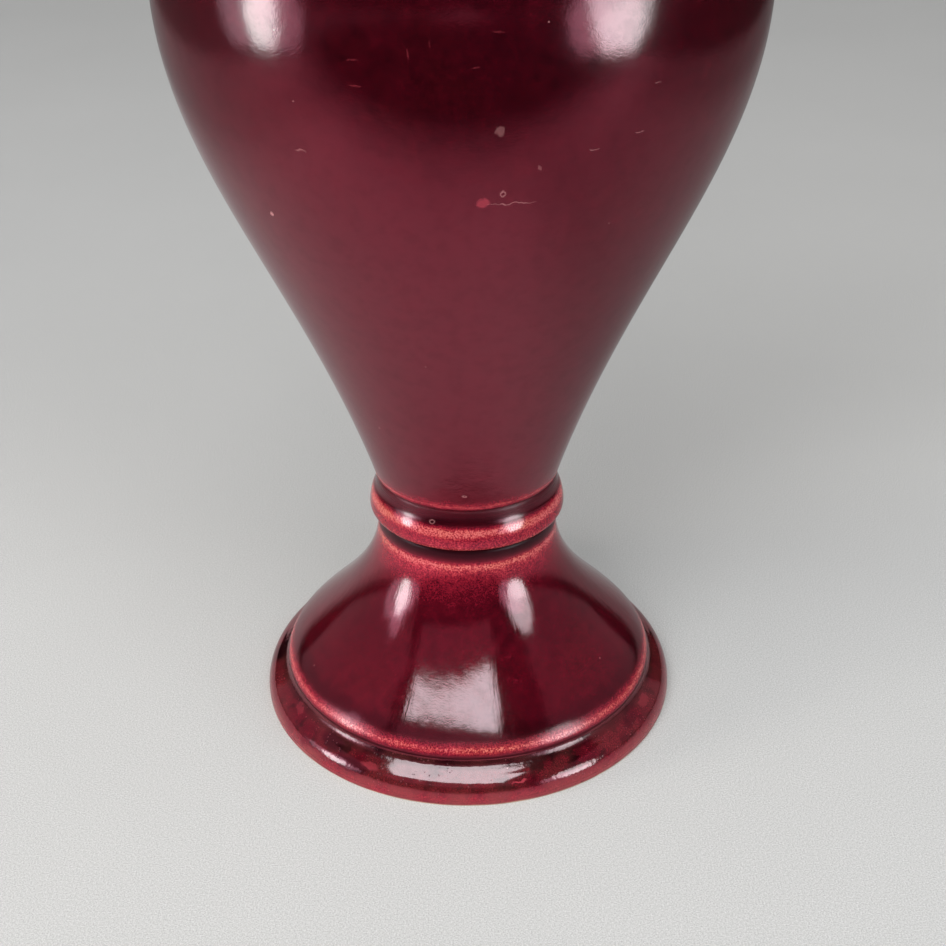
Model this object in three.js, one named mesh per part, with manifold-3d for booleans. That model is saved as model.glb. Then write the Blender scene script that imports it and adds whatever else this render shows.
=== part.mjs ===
// A two-handled vase of glazed stoneware on a bell foot, of the neck-amphora kind.
// Millimetres, +Z up. The origin is on the table under the vase's axis, and the handles lie along X.
//
// The vase is built in sections, as a potter builds a tall one. Each section sits face to face on the
// one below it, and a low tongue on the inner half of the lower wall centres the upper section. The
// handles have saddle ends that follow the vase's skin, and a peg at each end sits in a blind socket.

import * as THREE from 'three';
import { mergeVertices } from 'three/addons/utils/BufferGeometryUtils.js';
import Module from 'manifold-3d';

const wasm = await Module();
wasm.setup();

// Fineness of the solids
const SIDES = 40;
const CURVE_STEPS = 8;
const ROUND_STEPS = 3;

// Clay walls and joints
const WALL = 5;
const JOINT_GAP = 0.3;
const TONGUE_HEIGHT = 3;

// Base ring
const RING_HEIGHT = 9.2;
const RING_RADIUS = 55.9;
const RING_WIDEST_HEIGHT = 1.6;
const RING_EDGE_ROUND = 5;
const RING_SLOPE = THREE.MathUtils.degToRad(33.5);
const RING_CONTACT_RADIUS = 55.4;
const RING_CONTACT_WIDTH = 8;

// Bell foot
const BELL_HEIGHT = 46.3;
const BELL_LIP_RADIUS = 49.9;
const BELL_LIP_ROUND = 1.9;
const BELL_LIP_UNDERCUT = THREE.MathUtils.degToRad(50);
const BELL_LIP_LEAN = THREE.MathUtils.degToRad(-11.5);
const BELL_LIP_REACH = 6.6;
const BELL_TOP_RADIUS = 23.4;
const BELL_TOP_ROUND = 1.3;
const BELL_TOP_REACH = 21.8;

// Collar
const COLLAR_HEIGHT = 11.5;
const COLLAR_RADIUS = 25.5;
const COLLAR_WIDEST_HEIGHT = 2.6;
const COLLAR_UPPER_ROUND = 11.1;
const COLLAR_UPPER_TURN = THREE.MathUtils.degToRad(29);
const COLLAR_LOWER_ROUND = 1.8;
const COLLAR_GROOVE_DEPTH = 0.7;

// Body
const BODY_FOOT_RADIUS = 24;
const BODY_FOOT_ROUND = 1.2;
const BODY_FOOT_LEAN = THREE.MathUtils.degToRad(17.3);
const BODY_FOOT_REACH = 60.5;
const BODY_FLOOR = 6;
const BODY_FLOOR_ROUND = 8;
const BELLY_RADIUS = 67.9;
const BELLY_HEIGHT = 124;
const BELLY_REACH_DOWN = 36.8;
const BELLY_REACH_UP = 31;
const SHOULDER_HEIGHT = 60;
const SHOULDER_LEAN = THREE.MathUtils.degToRad(-62);
const SHOULDER_REACH = 28;

// Neck
const NECK_HEIGHT = 65;
const NECK_ROOT_RADIUS = 25;
const NECK_ROOT_LEAN = THREE.MathUtils.degToRad(-10);
const NECK_ROOT_REACH = 20;
const NECK_BEAD = 2.2;
const NECK_TOP_RADIUS = 30;
const NECK_TOP_LEAN = THREE.MathUtils.degToRad(32);
const NECK_TOP_REACH = 22;

// Mouth
const RIM_HEIGHT = 9;
const RIM_RADIUS = 37;
const RIM_ROLL = 3.5;
const RIM_ROLL_START = THREE.MathUtils.degToRad(-60);
const RIM_ROLL_END = THREE.MathUtils.degToRad(160);

// Handles
const HANDLE_WIDTH = 13;
const HANDLE_THICKNESS = 9.5;
const HANDLE_SHOULDER_DROP = 14.8;
const HANDLE_SHOULDER_REACH = 46;
const HANDLE_NECK_HEIGHT = 49.2;
const HANDLE_NECK_RISE = THREE.MathUtils.degToRad(12);
const HANDLE_NECK_REACH = 42;
const HANDLE_ROOT_SPREAD = 4;
const HANDLE_ROOT_LENGTH = 16;
const HANDLE_ROOT_SINK = 4;
const HANDLE_STEPS = 20;
const HANDLE_SIDES = 12;
const PEG_RADIUS = 3;
const PEG_DEPTH = 2.8;
const PEG_SIDES = 12;

// Joint planes, stacked from the table up
const RING_SEAT = RING_HEIGHT;
const COLLAR_SEAT = RING_SEAT + BELL_HEIGHT;
const BODY_SEAT = COLLAR_SEAT + COLLAR_HEIGHT;
const BELLY_SEAT = BODY_SEAT + BELLY_HEIGHT;
const NECK_SEAT = BELLY_SEAT + SHOULDER_HEIGHT;
const RIM_SEAT = NECK_SEAT + NECK_HEIGHT;

const GLAZE = new THREE.MeshStandardMaterial({ color: 0x5f1622, roughness: 0.12, metalness: 0 });
const THIN_GLAZE = new THREE.MeshStandardMaterial({ color: 0x6e2a24, roughness: 0.16, metalness: 0 });

// Outlines are points of radius and height, anticlockwise with the radius to the right.
function point(radius, height) {
  return new THREE.Vector2(radius, height);
}

// A lean is an angle from straight up, positive outwards.
function leaning(lean, length) {
  return point(Math.sin(lean) * length, Math.cos(lean) * length);
}

// A round stretch about a centre, from one angle to another, measured from straight outwards.
function roundStretch(centre, radius, from, to) {
  return Array.from({ length: ROUND_STEPS + 1 }, (_, step) => {
    const angle = from + ((to - from) * step) / ROUND_STEPS;
    return point(centre.x + radius * Math.cos(angle), centre.y + radius * Math.sin(angle));
  });
}

// The curve of a wall, going up. It leaves and arrives at the given leans.
function wallCurve(start, startLean, startReach, end, endLean, endReach) {
  const leave = start.clone().add(leaning(startLean, startReach));
  const arrive = end.clone().sub(leaning(endLean, endReach));
  return new THREE.CubicBezierCurve(start, leave, arrive, end);
}

// Points up a wall's curve, moved outwards, square to the curve, by a distance.
function upAlong(curve, outwards) {
  return Array.from({ length: CURVE_STEPS + 1 }, (_, step) => {
    const at = curve.getPoint(step / CURVE_STEPS);
    const tangent = curve.getTangent(step / CURVE_STEPS);
    return point(at.x + outwards * tangent.y, at.y - outwards * tangent.x);
  });
}

// Points down the inner skin of a wall, between two heights.
function downInside(curve, lowest, highest) {
  const skin = upAlong(curve, -WALL).filter((at) => at.y > lowest && at.y < highest);
  return skin.reverse();
}

// The foot of a wall, from its inner to its outer edge, cut back over the tongue of the section below.
function rebatedFoot(inner, outer, seat) {
  const side = (inner + outer + JOINT_GAP) / 2;
  const top = seat + TONGUE_HEIGHT + JOINT_GAP;
  return [point(inner, top), point(side, top), point(side, seat), point(outer, seat)];
}

// The top of a wall, from its outer to its inner edge, with its tongue.
function tonguedTop(inner, outer, seat) {
  const side = (inner + outer - JOINT_GAP) / 2;
  const top = seat + TONGUE_HEIGHT;
  return [point(outer, seat), point(side, seat), point(side, top), point(inner, top)];
}

// Turns an outline about the vase's axis. Points that repeat their neighbour are left out.
function turned(outline) {
  const points = outline.filter((at, index) => index === 0 || at.distanceTo(outline[index - 1]) > 1e-3);
  if (points[0].x > 0) points.push(points[0].clone());
  const geometry = new THREE.LatheGeometry(points, SIDES);
  geometry.rotateX(Math.PI / 2);
  return closedSolid(geometry);
}

// A closed geometry as a solid: corners that coincide are joined, and faces without area go.
function closedSolid(geometry) {
  geometry.deleteAttribute('normal');
  geometry.deleteAttribute('uv');
  const joined = mergeVertices(geometry, 1e-4);
  const corners = joined.index.array;
  const triangles = [];
  for (let first = 0; first < corners.length; first += 3) {
    const [a, b, c] = corners.slice(first, first + 3);
    if (a !== b && b !== c && c !== a) triangles.push(a, b, c);
  }
  const mesh = new wasm.Mesh({
    numProp: 3,
    vertProperties: joined.attributes.position.array,
    triVerts: Uint32Array.from(triangles),
  });
  return new wasm.Manifold(mesh);
}

function namedMesh(name, solid, material) {
  const { vertProperties, triVerts } = solid.getMesh();
  const geometry = new THREE.BufferGeometry();
  geometry.setAttribute('position', new THREE.BufferAttribute(vertProperties, 3));
  geometry.setIndex(new THREE.BufferAttribute(triVerts, 1));
  geometry.computeVertexNormals();
  const mesh = new THREE.Mesh(geometry, material);
  mesh.name = name;
  return mesh;
}

// The lip of the bell is a roll over the groove above the base ring.
const lipCentre = point(
  BELL_LIP_RADIUS - BELL_LIP_ROUND,
  RING_SEAT + BELL_LIP_ROUND * Math.sin(BELL_LIP_UNDERCUT),
);
const bellLip = roundStretch(lipCentre, BELL_LIP_ROUND, -BELL_LIP_UNDERCUT, -BELL_LIP_LEAN);
const bellCurve = wallCurve(
  bellLip.at(-1), BELL_LIP_LEAN, BELL_LIP_REACH,
  point(BELL_TOP_RADIUS, COLLAR_SEAT - BELL_TOP_ROUND), 0, BELL_TOP_REACH,
);
const bellInnerRadius = BELL_LIP_RADIUS - WALL;
const footBore = BELL_TOP_RADIUS - WALL;

const bodyCurve = wallCurve(
  point(BODY_FOOT_RADIUS, BODY_SEAT + BODY_FOOT_ROUND), BODY_FOOT_LEAN, BODY_FOOT_REACH,
  point(BELLY_RADIUS, BELLY_SEAT), 0, BELLY_REACH_DOWN,
);
const shoulderCurve = wallCurve(
  point(BELLY_RADIUS, BELLY_SEAT), 0, BELLY_REACH_UP,
  point(NECK_ROOT_RADIUS, NECK_SEAT), SHOULDER_LEAN, SHOULDER_REACH,
);
const neckCurve = wallCurve(
  point(NECK_ROOT_RADIUS, NECK_SEAT + 2 * NECK_BEAD), NECK_ROOT_LEAN, NECK_ROOT_REACH,
  point(NECK_TOP_RADIUS, RIM_SEAT), NECK_TOP_LEAN, NECK_TOP_REACH,
);
const bellyBore = BELLY_RADIUS - WALL;
const neckBore = NECK_ROOT_RADIUS - WALL;
const rimBore = NECK_TOP_RADIUS - WALL;

// A low ring with a sloped top and a flat contact ring under it.
function baseRing() {
  const edgeCentre = point(RING_RADIUS - RING_EDGE_ROUND, RING_WIDEST_HEIGHT);
  const edge = roundStretch(edgeCentre, RING_EDGE_ROUND, 0, Math.PI / 2 - RING_SLOPE);
  const slopeStart = edge.at(-1);
  const seatRadius = slopeStart.x - (RING_SEAT - slopeStart.y) / Math.tan(RING_SLOPE);
  return turned([
    point(bellInnerRadius, TONGUE_HEIGHT),
    point(RING_CONTACT_RADIUS - RING_CONTACT_WIDTH, 0),
    point(RING_CONTACT_RADIUS, 0),
    ...edge,
    ...tonguedTop(bellInnerRadius, seatRadius, RING_SEAT),
  ]);
}

function bellFoot() {
  const seatRadius = bellLip[0].x;
  const topCentre = point(BELL_TOP_RADIUS - BELL_TOP_ROUND, COLLAR_SEAT - BELL_TOP_ROUND);
  const innerFoot = RING_SEAT + TONGUE_HEIGHT + JOINT_GAP;
  return turned([
    ...rebatedFoot(bellInnerRadius, seatRadius, RING_SEAT),
    ...bellLip,
    ...upAlong(bellCurve, 0),
    ...roundStretch(topCentre, BELL_TOP_ROUND, 0, Math.PI / 2),
    ...tonguedTop(footBore, BELL_TOP_RADIUS - BELL_TOP_ROUND, COLLAR_SEAT),
    ...downInside(bellCurve, innerFoot, COLLAR_SEAT),
  ]);
}

// A rounded band, widest near its lower edge. It draws in to a groove under the body.
function collarRing() {
  const widest = COLLAR_SEAT + COLLAR_WIDEST_HEIGHT;
  const lowerCentre = point(COLLAR_RADIUS - COLLAR_LOWER_ROUND, widest);
  const upperCentre = point(COLLAR_RADIUS - COLLAR_UPPER_ROUND, widest);
  return turned([
    ...rebatedFoot(footBore, BELL_TOP_RADIUS - BELL_TOP_ROUND, COLLAR_SEAT),
    ...roundStretch(lowerCentre, COLLAR_LOWER_ROUND, -Math.PI / 2, 0),
    ...roundStretch(upperCentre, COLLAR_UPPER_ROUND, 0, COLLAR_UPPER_TURN),
    point(BODY_FOOT_RADIUS - COLLAR_GROOVE_DEPTH, BODY_SEAT - COLLAR_GROOVE_DEPTH),
    point(BODY_FOOT_RADIUS - BODY_FOOT_ROUND, BODY_SEAT),
    point(footBore, BODY_SEAT),
  ]);
}

// The lower body closes the vessel. A round tenon under its floor sits in the collar.
function lowerBody() {
  const tenonRadius = footBore - JOINT_GAP;
  const floorTop = BODY_SEAT + BODY_FLOOR;
  const skin = downInside(bodyCurve, floorTop + BODY_FLOOR_ROUND, BELLY_SEAT);
  const floorCentre = point(skin.at(-1).x - BODY_FLOOR_ROUND, floorTop + BODY_FLOOR_ROUND);
  const footCentre = point(BODY_FOOT_RADIUS - BODY_FOOT_ROUND, BODY_SEAT + BODY_FOOT_ROUND);
  return turned([
    point(0, BODY_SEAT - TONGUE_HEIGHT),
    point(tenonRadius, BODY_SEAT - TONGUE_HEIGHT),
    point(tenonRadius, BODY_SEAT),
    ...roundStretch(footCentre, BODY_FOOT_ROUND, -Math.PI / 2, 0),
    ...upAlong(bodyCurve, 0),
    ...tonguedTop(bellyBore, BELLY_RADIUS, BELLY_SEAT),
    ...skin,
    ...roundStretch(floorCentre, BODY_FLOOR_ROUND, 0, -Math.PI / 2),
    point(0, floorTop),
  ]);
}

function upperBody() {
  const innerFoot = BELLY_SEAT + TONGUE_HEIGHT + JOINT_GAP;
  const skin = downInside(shoulderCurve, innerFoot, NECK_SEAT);
  return turned([
    ...rebatedFoot(bellyBore, BELLY_RADIUS, BELLY_SEAT),
    ...upAlong(shoulderCurve, 0),
    ...tonguedTop(neckBore, NECK_ROOT_RADIUS, NECK_SEAT),
    point(neckBore, skin[0].y),
    ...skin,
  ]);
}

function neckOutside() {
  const beadCentre = point(NECK_ROOT_RADIUS, NECK_SEAT + NECK_BEAD);
  return [
    ...roundStretch(beadCentre, NECK_BEAD, -Math.PI / 2, Math.PI / 2),
    ...upAlong(neckCurve, 0),
  ];
}

function neckTube() {
  const inside = upAlong(neckCurve, 0).map((at) => point(at.x - WALL, at.y)).reverse();
  return turned([
    ...rebatedFoot(neckBore, NECK_ROOT_RADIUS, NECK_SEAT),
    ...neckOutside(),
    ...tonguedTop(rimBore, NECK_TOP_RADIUS, RIM_SEAT),
    ...inside.slice(1),
  ]);
}

function mouthRim() {
  const rollCentre = point(RIM_RADIUS - RIM_ROLL, RIM_SEAT + RIM_HEIGHT - RIM_ROLL);
  return turned([
    ...rebatedFoot(rimBore, NECK_TOP_RADIUS, RIM_SEAT),
    ...roundStretch(rollCentre, RIM_ROLL, RIM_ROLL_START, 0),
    ...roundStretch(rollCentre, RIM_ROLL, 0, Math.PI / 2),
    ...roundStretch(rollCentre, RIM_ROLL, Math.PI / 2, RIM_ROLL_END),
  ]);
}

// The share of a wall's curve that lies below a height.
function shareBelow(curve, height) {
  let share = 0;
  for (let part = 0.5; part > 1e-6; part /= 2) {
    if (curve.getPoint(share + part).y < height) share += part;
  }
  return share;
}

// The roots of the right handle on the skin of the shoulder and the neck, each with its way outwards.
function handleRoots() {
  const lowShare = shareBelow(shoulderCurve, NECK_SEAT - HANDLE_SHOULDER_DROP);
  const low = shoulderCurve.getPoint(lowShare);
  const lowTangent = shoulderCurve.getTangent(lowShare);
  const high = neckCurve.getPoint(shareBelow(neckCurve, NECK_SEAT + HANDLE_NECK_HEIGHT));
  return {
    low: new THREE.Vector3(low.x, 0, low.y),
    lowWay: new THREE.Vector3(lowTangent.y, 0, -lowTangent.x),
    high: new THREE.Vector3(high.x, 0, high.y),
    highWay: new THREE.Vector3(Math.cos(HANDLE_NECK_RISE), 0, Math.sin(HANDLE_NECK_RISE)),
  };
}

function handleCurve(roots) {
  return new THREE.CubicBezierCurve3(
    roots.low,
    roots.low.clone().addScaledVector(roots.lowWay, HANDLE_SHOULDER_REACH),
    roots.high.clone().addScaledVector(roots.highWay, HANDLE_NECK_REACH),
    roots.high,
  );
}

// An oval loop that spreads like a trumpet towards its roots and starts and ends inside the wall.
function handleLoop(roots) {
  const curve = handleCurve(roots);
  const length = curve.getLength();
  const rings = [];
  for (let step = 0; step <= HANDLE_STEPS; step += 1) {
    const share = step / HANDLE_STEPS;
    const fromRoot = length * Math.min(share, 1 - share);
    const spread = HANDLE_ROOT_SPREAD * Math.max(0, 1 - fromRoot / HANDLE_ROOT_LENGTH) ** 2;
    rings.push({ at: curve.getPointAt(share), way: curve.getTangentAt(share), spread });
  }
  const first = rings[0];
  const last = rings.at(-1);
  rings.unshift({ ...first, at: first.at.clone().addScaledVector(first.way, -HANDLE_ROOT_SINK) });
  rings.push({ ...last, at: last.at.clone().addScaledVector(last.way, HANDLE_ROOT_SINK) });
  return closedSolid(sweptRings(rings));
}

function sweptRings(rings) {
  const across = new THREE.Vector3(0, 1, 0);
  const positions = [];
  for (const { at, way, spread } of rings) {
    const through = new THREE.Vector3().crossVectors(across, way);
    for (let side = 0; side < HANDLE_SIDES; side += 1) {
      const angle = (2 * Math.PI * side) / HANDLE_SIDES;
      const corner = at.clone()
        .addScaledVector(across, (HANDLE_WIDTH / 2 + spread) * Math.cos(angle))
        .addScaledVector(through, (HANDLE_THICKNESS / 2 + spread) * Math.sin(angle));
      positions.push(corner.x, corner.y, corner.z);
    }
  }
  const startCentre = positions.length / 3;
  const endCentre = startCentre + 1;
  positions.push(...rings[0].at.toArray(), ...rings.at(-1).at.toArray());
  const indices = [];
  for (let side = 0; side < HANDLE_SIDES; side += 1) {
    const next = (side + 1) % HANDLE_SIDES;
    for (let ring = 0; ring < rings.length - 1; ring += 1) {
      const low = ring * HANDLE_SIDES;
      const high = low + HANDLE_SIDES;
      indices.push(low + side, high + next, low + next, low + side, high + side, high + next);
    }
    const lastRing = (rings.length - 1) * HANDLE_SIDES;
    indices.push(startCentre, side, next, endCentre, lastRing + next, lastRing + side);
  }
  const geometry = new THREE.BufferGeometry();
  geometry.setAttribute('position', new THREE.Float32BufferAttribute(positions, 3));
  geometry.setIndex(indices);
  return geometry;
}

// A round bar from one distance to another along a root's way outwards.
function bar(root, way, radius, from, to) {
  const geometry = new THREE.CylinderGeometry(radius, radius, to - from, PEG_SIDES);
  geometry.applyQuaternion(new THREE.Quaternion().setFromUnitVectors(new THREE.Vector3(0, 1, 0), way));
  const middle = root.clone().addScaledVector(way, (from + to) / 2);
  geometry.translate(middle.x, middle.y, middle.z);
  return closedSolid(geometry);
}

// The space that the shoulder and the neck take from a handle, with the joint's gap round them.
function handleSeat() {
  const shoulder = upAlong(shoulderCurve, JOINT_GAP);
  const neck = neckOutside().map((at) => point(at.x + JOINT_GAP, at.y));
  return turned([
    point(0, BELLY_SEAT),
    ...shoulder.filter((at) => at.y < NECK_SEAT),
    ...neck,
    point(0, RIM_SEAT),
  ]);
}

function peg(root, way) {
  return bar(root, way, PEG_RADIUS, -PEG_DEPTH, HANDLE_ROOT_SINK);
}

// The same blind socket on both sides of the vase.
function socketPair(root, way) {
  const socket = bar(root, way, PEG_RADIUS + JOINT_GAP, -PEG_DEPTH - JOINT_GAP, HANDLE_ROOT_SINK);
  return socket.add(socket.rotate([0, 0, 180]));
}

const roots = handleRoots();
const handle = handleLoop(roots)
  .subtract(handleSeat())
  .add(peg(roots.low, roots.lowWay))
  .add(peg(roots.high, roots.highWay));

const vase = new THREE.Group();
vase.add(namedMesh('base_ring', baseRing(), THIN_GLAZE));
vase.add(namedMesh('foot_bell', bellFoot(), GLAZE));
vase.add(namedMesh('collar_ring', collarRing(), THIN_GLAZE));
vase.add(namedMesh('body_lower', lowerBody(), GLAZE));
vase.add(namedMesh('body_upper', upperBody().subtract(socketPair(roots.low, roots.lowWay)), GLAZE));
vase.add(namedMesh('neck', neckTube().subtract(socketPair(roots.high, roots.highWay)), GLAZE));
vase.add(namedMesh('mouth_rim', mouthRim(), THIN_GLAZE));
vase.add(namedMesh('handle_right', handle, GLAZE));
const leftHandle = namedMesh('handle_left', handle, GLAZE);
leftHandle.rotation.z = Math.PI;
vase.add(leftHandle);

export default vase;
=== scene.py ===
# A tall two-handled vase of glazed ceramic, standing on a pale table under soft studio light.
# Metres, +Z up. The axis of the vase is Z, its handles lie along X, and the camera looks along +Y.
from math import asin, cos, pi, radians, sin, tan

import bpy
from mathutils import Matrix, Vector


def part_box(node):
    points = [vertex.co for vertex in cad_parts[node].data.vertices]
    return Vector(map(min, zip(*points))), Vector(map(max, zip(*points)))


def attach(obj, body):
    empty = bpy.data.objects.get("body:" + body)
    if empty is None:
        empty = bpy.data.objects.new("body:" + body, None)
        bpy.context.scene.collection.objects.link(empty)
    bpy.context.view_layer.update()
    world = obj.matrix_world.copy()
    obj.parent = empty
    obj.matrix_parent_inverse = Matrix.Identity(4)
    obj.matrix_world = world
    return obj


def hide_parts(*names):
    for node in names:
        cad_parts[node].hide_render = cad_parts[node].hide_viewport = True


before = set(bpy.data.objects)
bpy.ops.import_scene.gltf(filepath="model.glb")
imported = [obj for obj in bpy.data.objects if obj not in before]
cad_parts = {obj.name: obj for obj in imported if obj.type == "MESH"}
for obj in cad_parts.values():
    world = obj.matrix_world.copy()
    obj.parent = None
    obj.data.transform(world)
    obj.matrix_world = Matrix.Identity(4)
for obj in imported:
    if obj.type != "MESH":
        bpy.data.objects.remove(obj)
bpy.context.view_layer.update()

MM = 0.001


def foot_of(node):
    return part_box(node)[0].z


def head_of(node):
    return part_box(node)[1].z


def widest(node):
    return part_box(node)[1].y


# Joint planes, from the table up
RING_SEAT = foot_of("foot_bell")
COLLAR_SEAT = foot_of("collar_ring")
BODY_SEAT = head_of("collar_ring")
BELLY_SEAT = foot_of("body_upper")
NECK_SEAT = foot_of("neck")
RIM_SEAT = foot_of("mouth_rim")
RIM_TOP = head_of("mouth_rim")

WALL = 5 * MM
TURNING_SIDES = 160
CURVE_STEPS = 56
ROUND_STEPS = 12
MERGE_REACH = 0.002 * MM
SHARP_ANGLE = radians(40)

# Base ring
RING_RADIUS = widest("base_ring")
RING_WIDEST_HEIGHT = 1.6 * MM
RING_EDGE_ROUND = 6.5 * MM
RING_SLOPE = radians(33.5)
RING_CONTACT_WIDTH = 8 * MM
RING_CONTACT_ROUND = 0.7 * MM
RING_INNER_EDGE = 3 * MM
RING_SLOPE_STEPS = 8
RING_POOL_REACH = 1.5 * MM
RING_POOL_LEAN = radians(10)
RING_POOL_GAP = 0.04 * MM

# Bell foot
LIP_RADIUS = 49.9 * MM
LIP_ROUND = 1.9 * MM
LIP_UNDERCUT = radians(50)
LIP_LEAN = radians(-11.5)
LIP_REACH = 6.6 * MM
# The point of the lip's round, counted from below, where the ring's pool of glaze ends
LIP_POOLED_POINT = 8
BELL_TOP_RADIUS = 23.4 * MM
BELL_TOP_ROUND = 1.3 * MM
BELL_TOP_REACH = 21.8 * MM
FOOT_BORE = BELL_TOP_RADIUS - WALL

# Collar
COLLAR_RADIUS = widest("collar_ring")
COLLAR_WIDEST = COLLAR_SEAT + 2.2 * MM
COLLAR_UPPER_ROUND = 11.1 * MM
COLLAR_UPPER_TURN = radians(29)
COLLAR_LOWER_ROUND = 1.5 * MM
COLLAR_GROOVE_DEPTH = 0.7 * MM
COLLAR_GROOVE_LEAN = radians(-12)
COLLAR_GROOVE_REACH = 1 * MM

# Body
BODY_FOOT_RADIUS = 24 * MM
BODY_FOOT_ROUND = 1.2 * MM
BODY_FOOT_LEAN = radians(17.3)
BODY_FOOT_REACH = 60.5 * MM
BODY_FLOOR = 6 * MM
BODY_FLOOR_ROUND = 8 * MM
TENON_DEPTH = 3 * MM
TENON_GAP = 0.3 * MM
BELLY_RADIUS = widest("body_lower")
BELLY_REACH_DOWN = 36.8 * MM
BELLY_REACH_UP = 31 * MM
SHOULDER_LEAN = radians(-62)
SHOULDER_REACH = 28 * MM

# Neck and mouth
NECK_ROOT_RADIUS = 25 * MM
NECK_ROOT_LEAN = radians(-10)
NECK_ROOT_REACH = 20 * MM
NECK_BEAD = 2.2 * MM
NECK_TOP_RADIUS = 30 * MM
NECK_TOP_LEAN = radians(32)
NECK_TOP_REACH = 22 * MM
RIM_RADIUS = widest("mouth_rim")
RIM_ROLL = 3.5 * MM
RIM_ROLL_START = radians(-60)
RIM_ROLL_END = radians(160)
RIM_BLEND = 1.6 * MM
RIM_FLARE_TURN = radians(30)
THROAT_TOP_LEAN = radians(-160)
THROAT_TOP_REACH = 2 * MM
THROAT_ROOT_LEAN = radians(-150)
THROAT_ROOT_REACH = 3 * MM

# Handles
HANDLE_WIDTH = 13 * MM
HANDLE_THICKNESS = 9.2 * MM
HANDLE_SHOULDER_DROP = 14.8 * MM
HANDLE_SHOULDER_REACH = 46 * MM
HANDLE_NECK_HEIGHT = 49.2 * MM
HANDLE_NECK_RISE = radians(12)
HANDLE_NECK_REACH = 42 * MM
HANDLE_ROOT_SPREAD = 4 * MM
HANDLE_ROOT_LENGTH = 16 * MM
HANDLE_ROOT_FALL = 2.4
HANDLE_ROOT_SINK = 1.2 * MM
HANDLE_STEPS = 40
HANDLE_SIDES = 24


# Outlines: points of radius and height, with the radius to the right

def at(radius, height):
    return Vector((radius, height))


def leaning(lean, length):
    """A step along a lean, which is an angle from straight up, positive outwards."""
    return Vector((sin(lean), cos(lean))) * length


def round_stretch(centre, radius, start, end, steps=ROUND_STEPS):
    """Points round a centre, from one angle to another, measured from straight outwards."""
    angles = [start + (end - start) * step / steps for step in range(steps + 1)]
    return [centre + Vector((cos(angle), sin(angle))) * radius for angle in angles]


def on_bezier(start, leave, arrive, end, share):
    rest = 1 - share
    near = start * rest ** 3 + leave * 3 * rest ** 2 * share
    return near + arrive * 3 * rest * share ** 2 + end * share ** 3


def wall_curve(start, start_lean, start_reach, end, end_lean, end_reach, steps=CURVE_STEPS):
    """Points up the curve of a wall, closer together towards both ends."""
    leave = start + leaning(start_lean, start_reach)
    arrive = end - leaning(end_lean, end_reach)
    shares = [(1 - cos(pi * step / steps)) / 2 for step in range(steps + 1)]
    return [on_bezier(start, leave, arrive, end, share) for share in shares]


def down_inside(curve, lowest, highest):
    """Points down the inner skin of a wall, between two heights."""
    skin = []
    for before, here, after in zip(curve[::2], curve[1::2], curve[2::2]):
        along = (after - before).normalized()
        skin.append(here + Vector((-along.y, along.x)) * WALL)
    return [point for point in reversed(skin) if lowest < point.y < highest]


lip_centre = at(LIP_RADIUS - LIP_ROUND, RING_SEAT + LIP_ROUND * sin(LIP_UNDERCUT))
lip = round_stretch(lip_centre, LIP_ROUND, -LIP_UNDERCUT, -LIP_LEAN)
bell_curve = wall_curve(
    lip[-1], LIP_LEAN, LIP_REACH,
    at(BELL_TOP_RADIUS, COLLAR_SEAT - BELL_TOP_ROUND), 0, BELL_TOP_REACH,
)
body_curve = wall_curve(
    at(BODY_FOOT_RADIUS, BODY_SEAT + BODY_FOOT_ROUND), BODY_FOOT_LEAN, BODY_FOOT_REACH,
    at(BELLY_RADIUS, BELLY_SEAT), 0, BELLY_REACH_DOWN,
)
shoulder_curve = wall_curve(
    at(BELLY_RADIUS, BELLY_SEAT), 0, BELLY_REACH_UP,
    at(NECK_ROOT_RADIUS, NECK_SEAT), SHOULDER_LEAN, SHOULDER_REACH,
)
neck_curve = wall_curve(
    at(NECK_ROOT_RADIUS, NECK_SEAT + 2 * NECK_BEAD), NECK_ROOT_LEAN, NECK_ROOT_REACH,
    at(NECK_TOP_RADIUS, RIM_SEAT), NECK_TOP_LEAN, NECK_TOP_REACH,
)

bell_bore = LIP_RADIUS - WALL
belly_bore = BELLY_RADIUS - WALL
neck_bore = NECK_ROOT_RADIUS - WALL
rim_bore = NECK_TOP_RADIUS - WALL


def ring_outline():
    """A low ring with a sloped top and a flat contact ring, rounded where the clay meets the table."""
    edge_centre = at(RING_RADIUS - RING_EDGE_ROUND, RING_WIDEST_HEIGHT)
    under = asin((RING_WIDEST_HEIGHT - RING_CONTACT_ROUND) / RING_EDGE_ROUND)
    edge = round_stretch(edge_centre, RING_EDGE_ROUND, -under, pi / 2 - RING_SLOPE)
    outer = edge[0].x - RING_CONTACT_ROUND * cos(under)
    inner = RING_RADIUS - RING_CONTACT_WIDTH
    contact = round_stretch(at(outer, RING_CONTACT_ROUND), RING_CONTACT_ROUND, -pi / 2, -under, steps=5)
    heel = round_stretch(at(inner, RING_CONTACT_ROUND), RING_CONTACT_ROUND, pi, 3 * pi / 2, steps=5)
    seat = at(edge[-1].x - (RING_SEAT - edge[-1].y) / tan(RING_SLOPE), RING_SEAT)
    pool_edge = seat + at(cos(RING_SLOPE), -sin(RING_SLOPE)) * RING_POOL_REACH
    shares = [step / RING_SLOPE_STEPS for step in range(1, RING_SLOPE_STEPS + 1)]
    slope = [edge[-1].lerp(pool_edge, share) for share in shares]
    under_lip = lip[LIP_POOLED_POINT] - at(RING_POOL_GAP, 0)
    pool = wall_curve(
        pool_edge, RING_SLOPE - pi / 2, RING_POOL_REACH * 0.5,
        under_lip, RING_POOL_LEAN, RING_POOL_REACH * 0.28, steps=12,
    )
    return [
        at(bell_bore, RING_SEAT), at(bell_bore, RING_INNER_EDGE), *heel, *contact, *edge[1:],
        *slope, *pool[1:], seat,
    ]


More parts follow.
